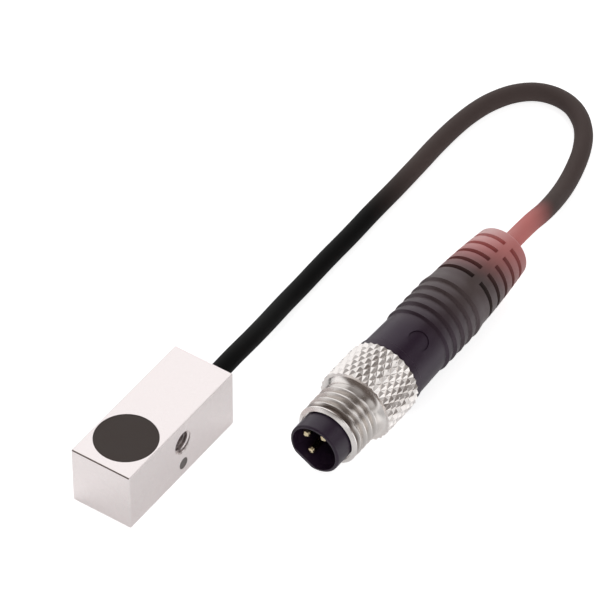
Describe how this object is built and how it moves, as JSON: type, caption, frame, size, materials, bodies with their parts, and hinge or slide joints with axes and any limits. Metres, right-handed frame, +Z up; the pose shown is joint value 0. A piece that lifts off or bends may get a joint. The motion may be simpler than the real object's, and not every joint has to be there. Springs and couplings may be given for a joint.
{
  "type": "inductive proximity sensor with plug-in lead",
  "caption": "Small square-section metal block sensor with a round sensing face, a threaded cross hole and a thin cord that ends in a knurled round plug.",
  "frame": {"origin": "centre of the block's bottom face, opposite the sensing face", "axes": "+X along the block from the sensing end to the cord end, +Z up through the sensing face, +Y across towards the side without the light window"},
  "size_m": [0.0875, 0.0253, 0.0096],
  "materials": {
    "nickel_block": "satin nickel plating",
    "cap_plastic": "matte, dark warm grey",
    "ferrite": "matte",
    "former_plastic": "matte",
    "copper": "enamelled copper",
    "board": "green solder resist",
    "chip_plastic": "matte black",
    "capacitor_ceramic": "matte",
    "led_plastic": "clear yellowish",
    "window_plastic": "clear, slightly milky",
    "resin": "dark casting resin",
    "bush_plastic": "matte black",
    "brown_insulation": "smooth",
    "blue_insulation": "smooth",
    "black_insulation": "smooth",
    "cord_jacket": "matte black",
    "grip_plastic": "soft matte, aubergine black",
    "premould_plastic": "natural",
    "nose_plastic": "semi-matte, aubergine black",
    "carrier_plastic": "matte black",
    "gold_pins": "gold plating",
    "nickel_ring": "bright nickel plating"
  },
  "bodies": {
    "sensor_and_lead": {"housing": "nickel_block", "sensing_cap": "cap_plastic", "ferrite_core": "ferrite", "coil_bobbin": "former_plastic", "coil_winding": "copper", "coil_lead_in": "copper", "coil_lead_out": "copper", "circuit_board": "board", "oscillator_chip": "chip_plastic", "output_transistor": "chip_plastic", "protection_diode": "chip_plastic", "filter_capacitor": "capacitor_ceramic", "supply_capacitor": "capacitor_ceramic", "gain_resistor": "chip_plastic", "status_led": "led_plastic", "light_window": "window_plastic", "potting_compound": "resin", "cord_bush": "bush_plastic", "sensor_wire_brown": "brown_insulation", "sensor_wire_blue": "blue_insulation", "sensor_wire_black": "black_insulation", "cord": "cord_jacket", "grip_overmould": "grip_plastic", "inner_premould": "premould_plastic", "plug_shell": "nose_plastic", "contact_carrier": "carrier_plastic", "contact_pin_1": "gold_pins", "contact_pin_3": "gold_pins", "contact_pin_4": "gold_pins", "plug_wire_brown": "brown_insulation", "plug_wire_blue": "blue_insulation", "plug_wire_black": "black_insulation"},
    "screw_ring": {"coupling_ring": "nickel_ring"}
  },
  "joints": [
    {"name": "ring_turn", "type": "hinge", "parent": "sensor_and_lead", "child": "screw_ring", "pos_m": [0.0145, -0.0165, 0.0048], "axis": [1, 0, 0], "continuous": true}
  ]
}
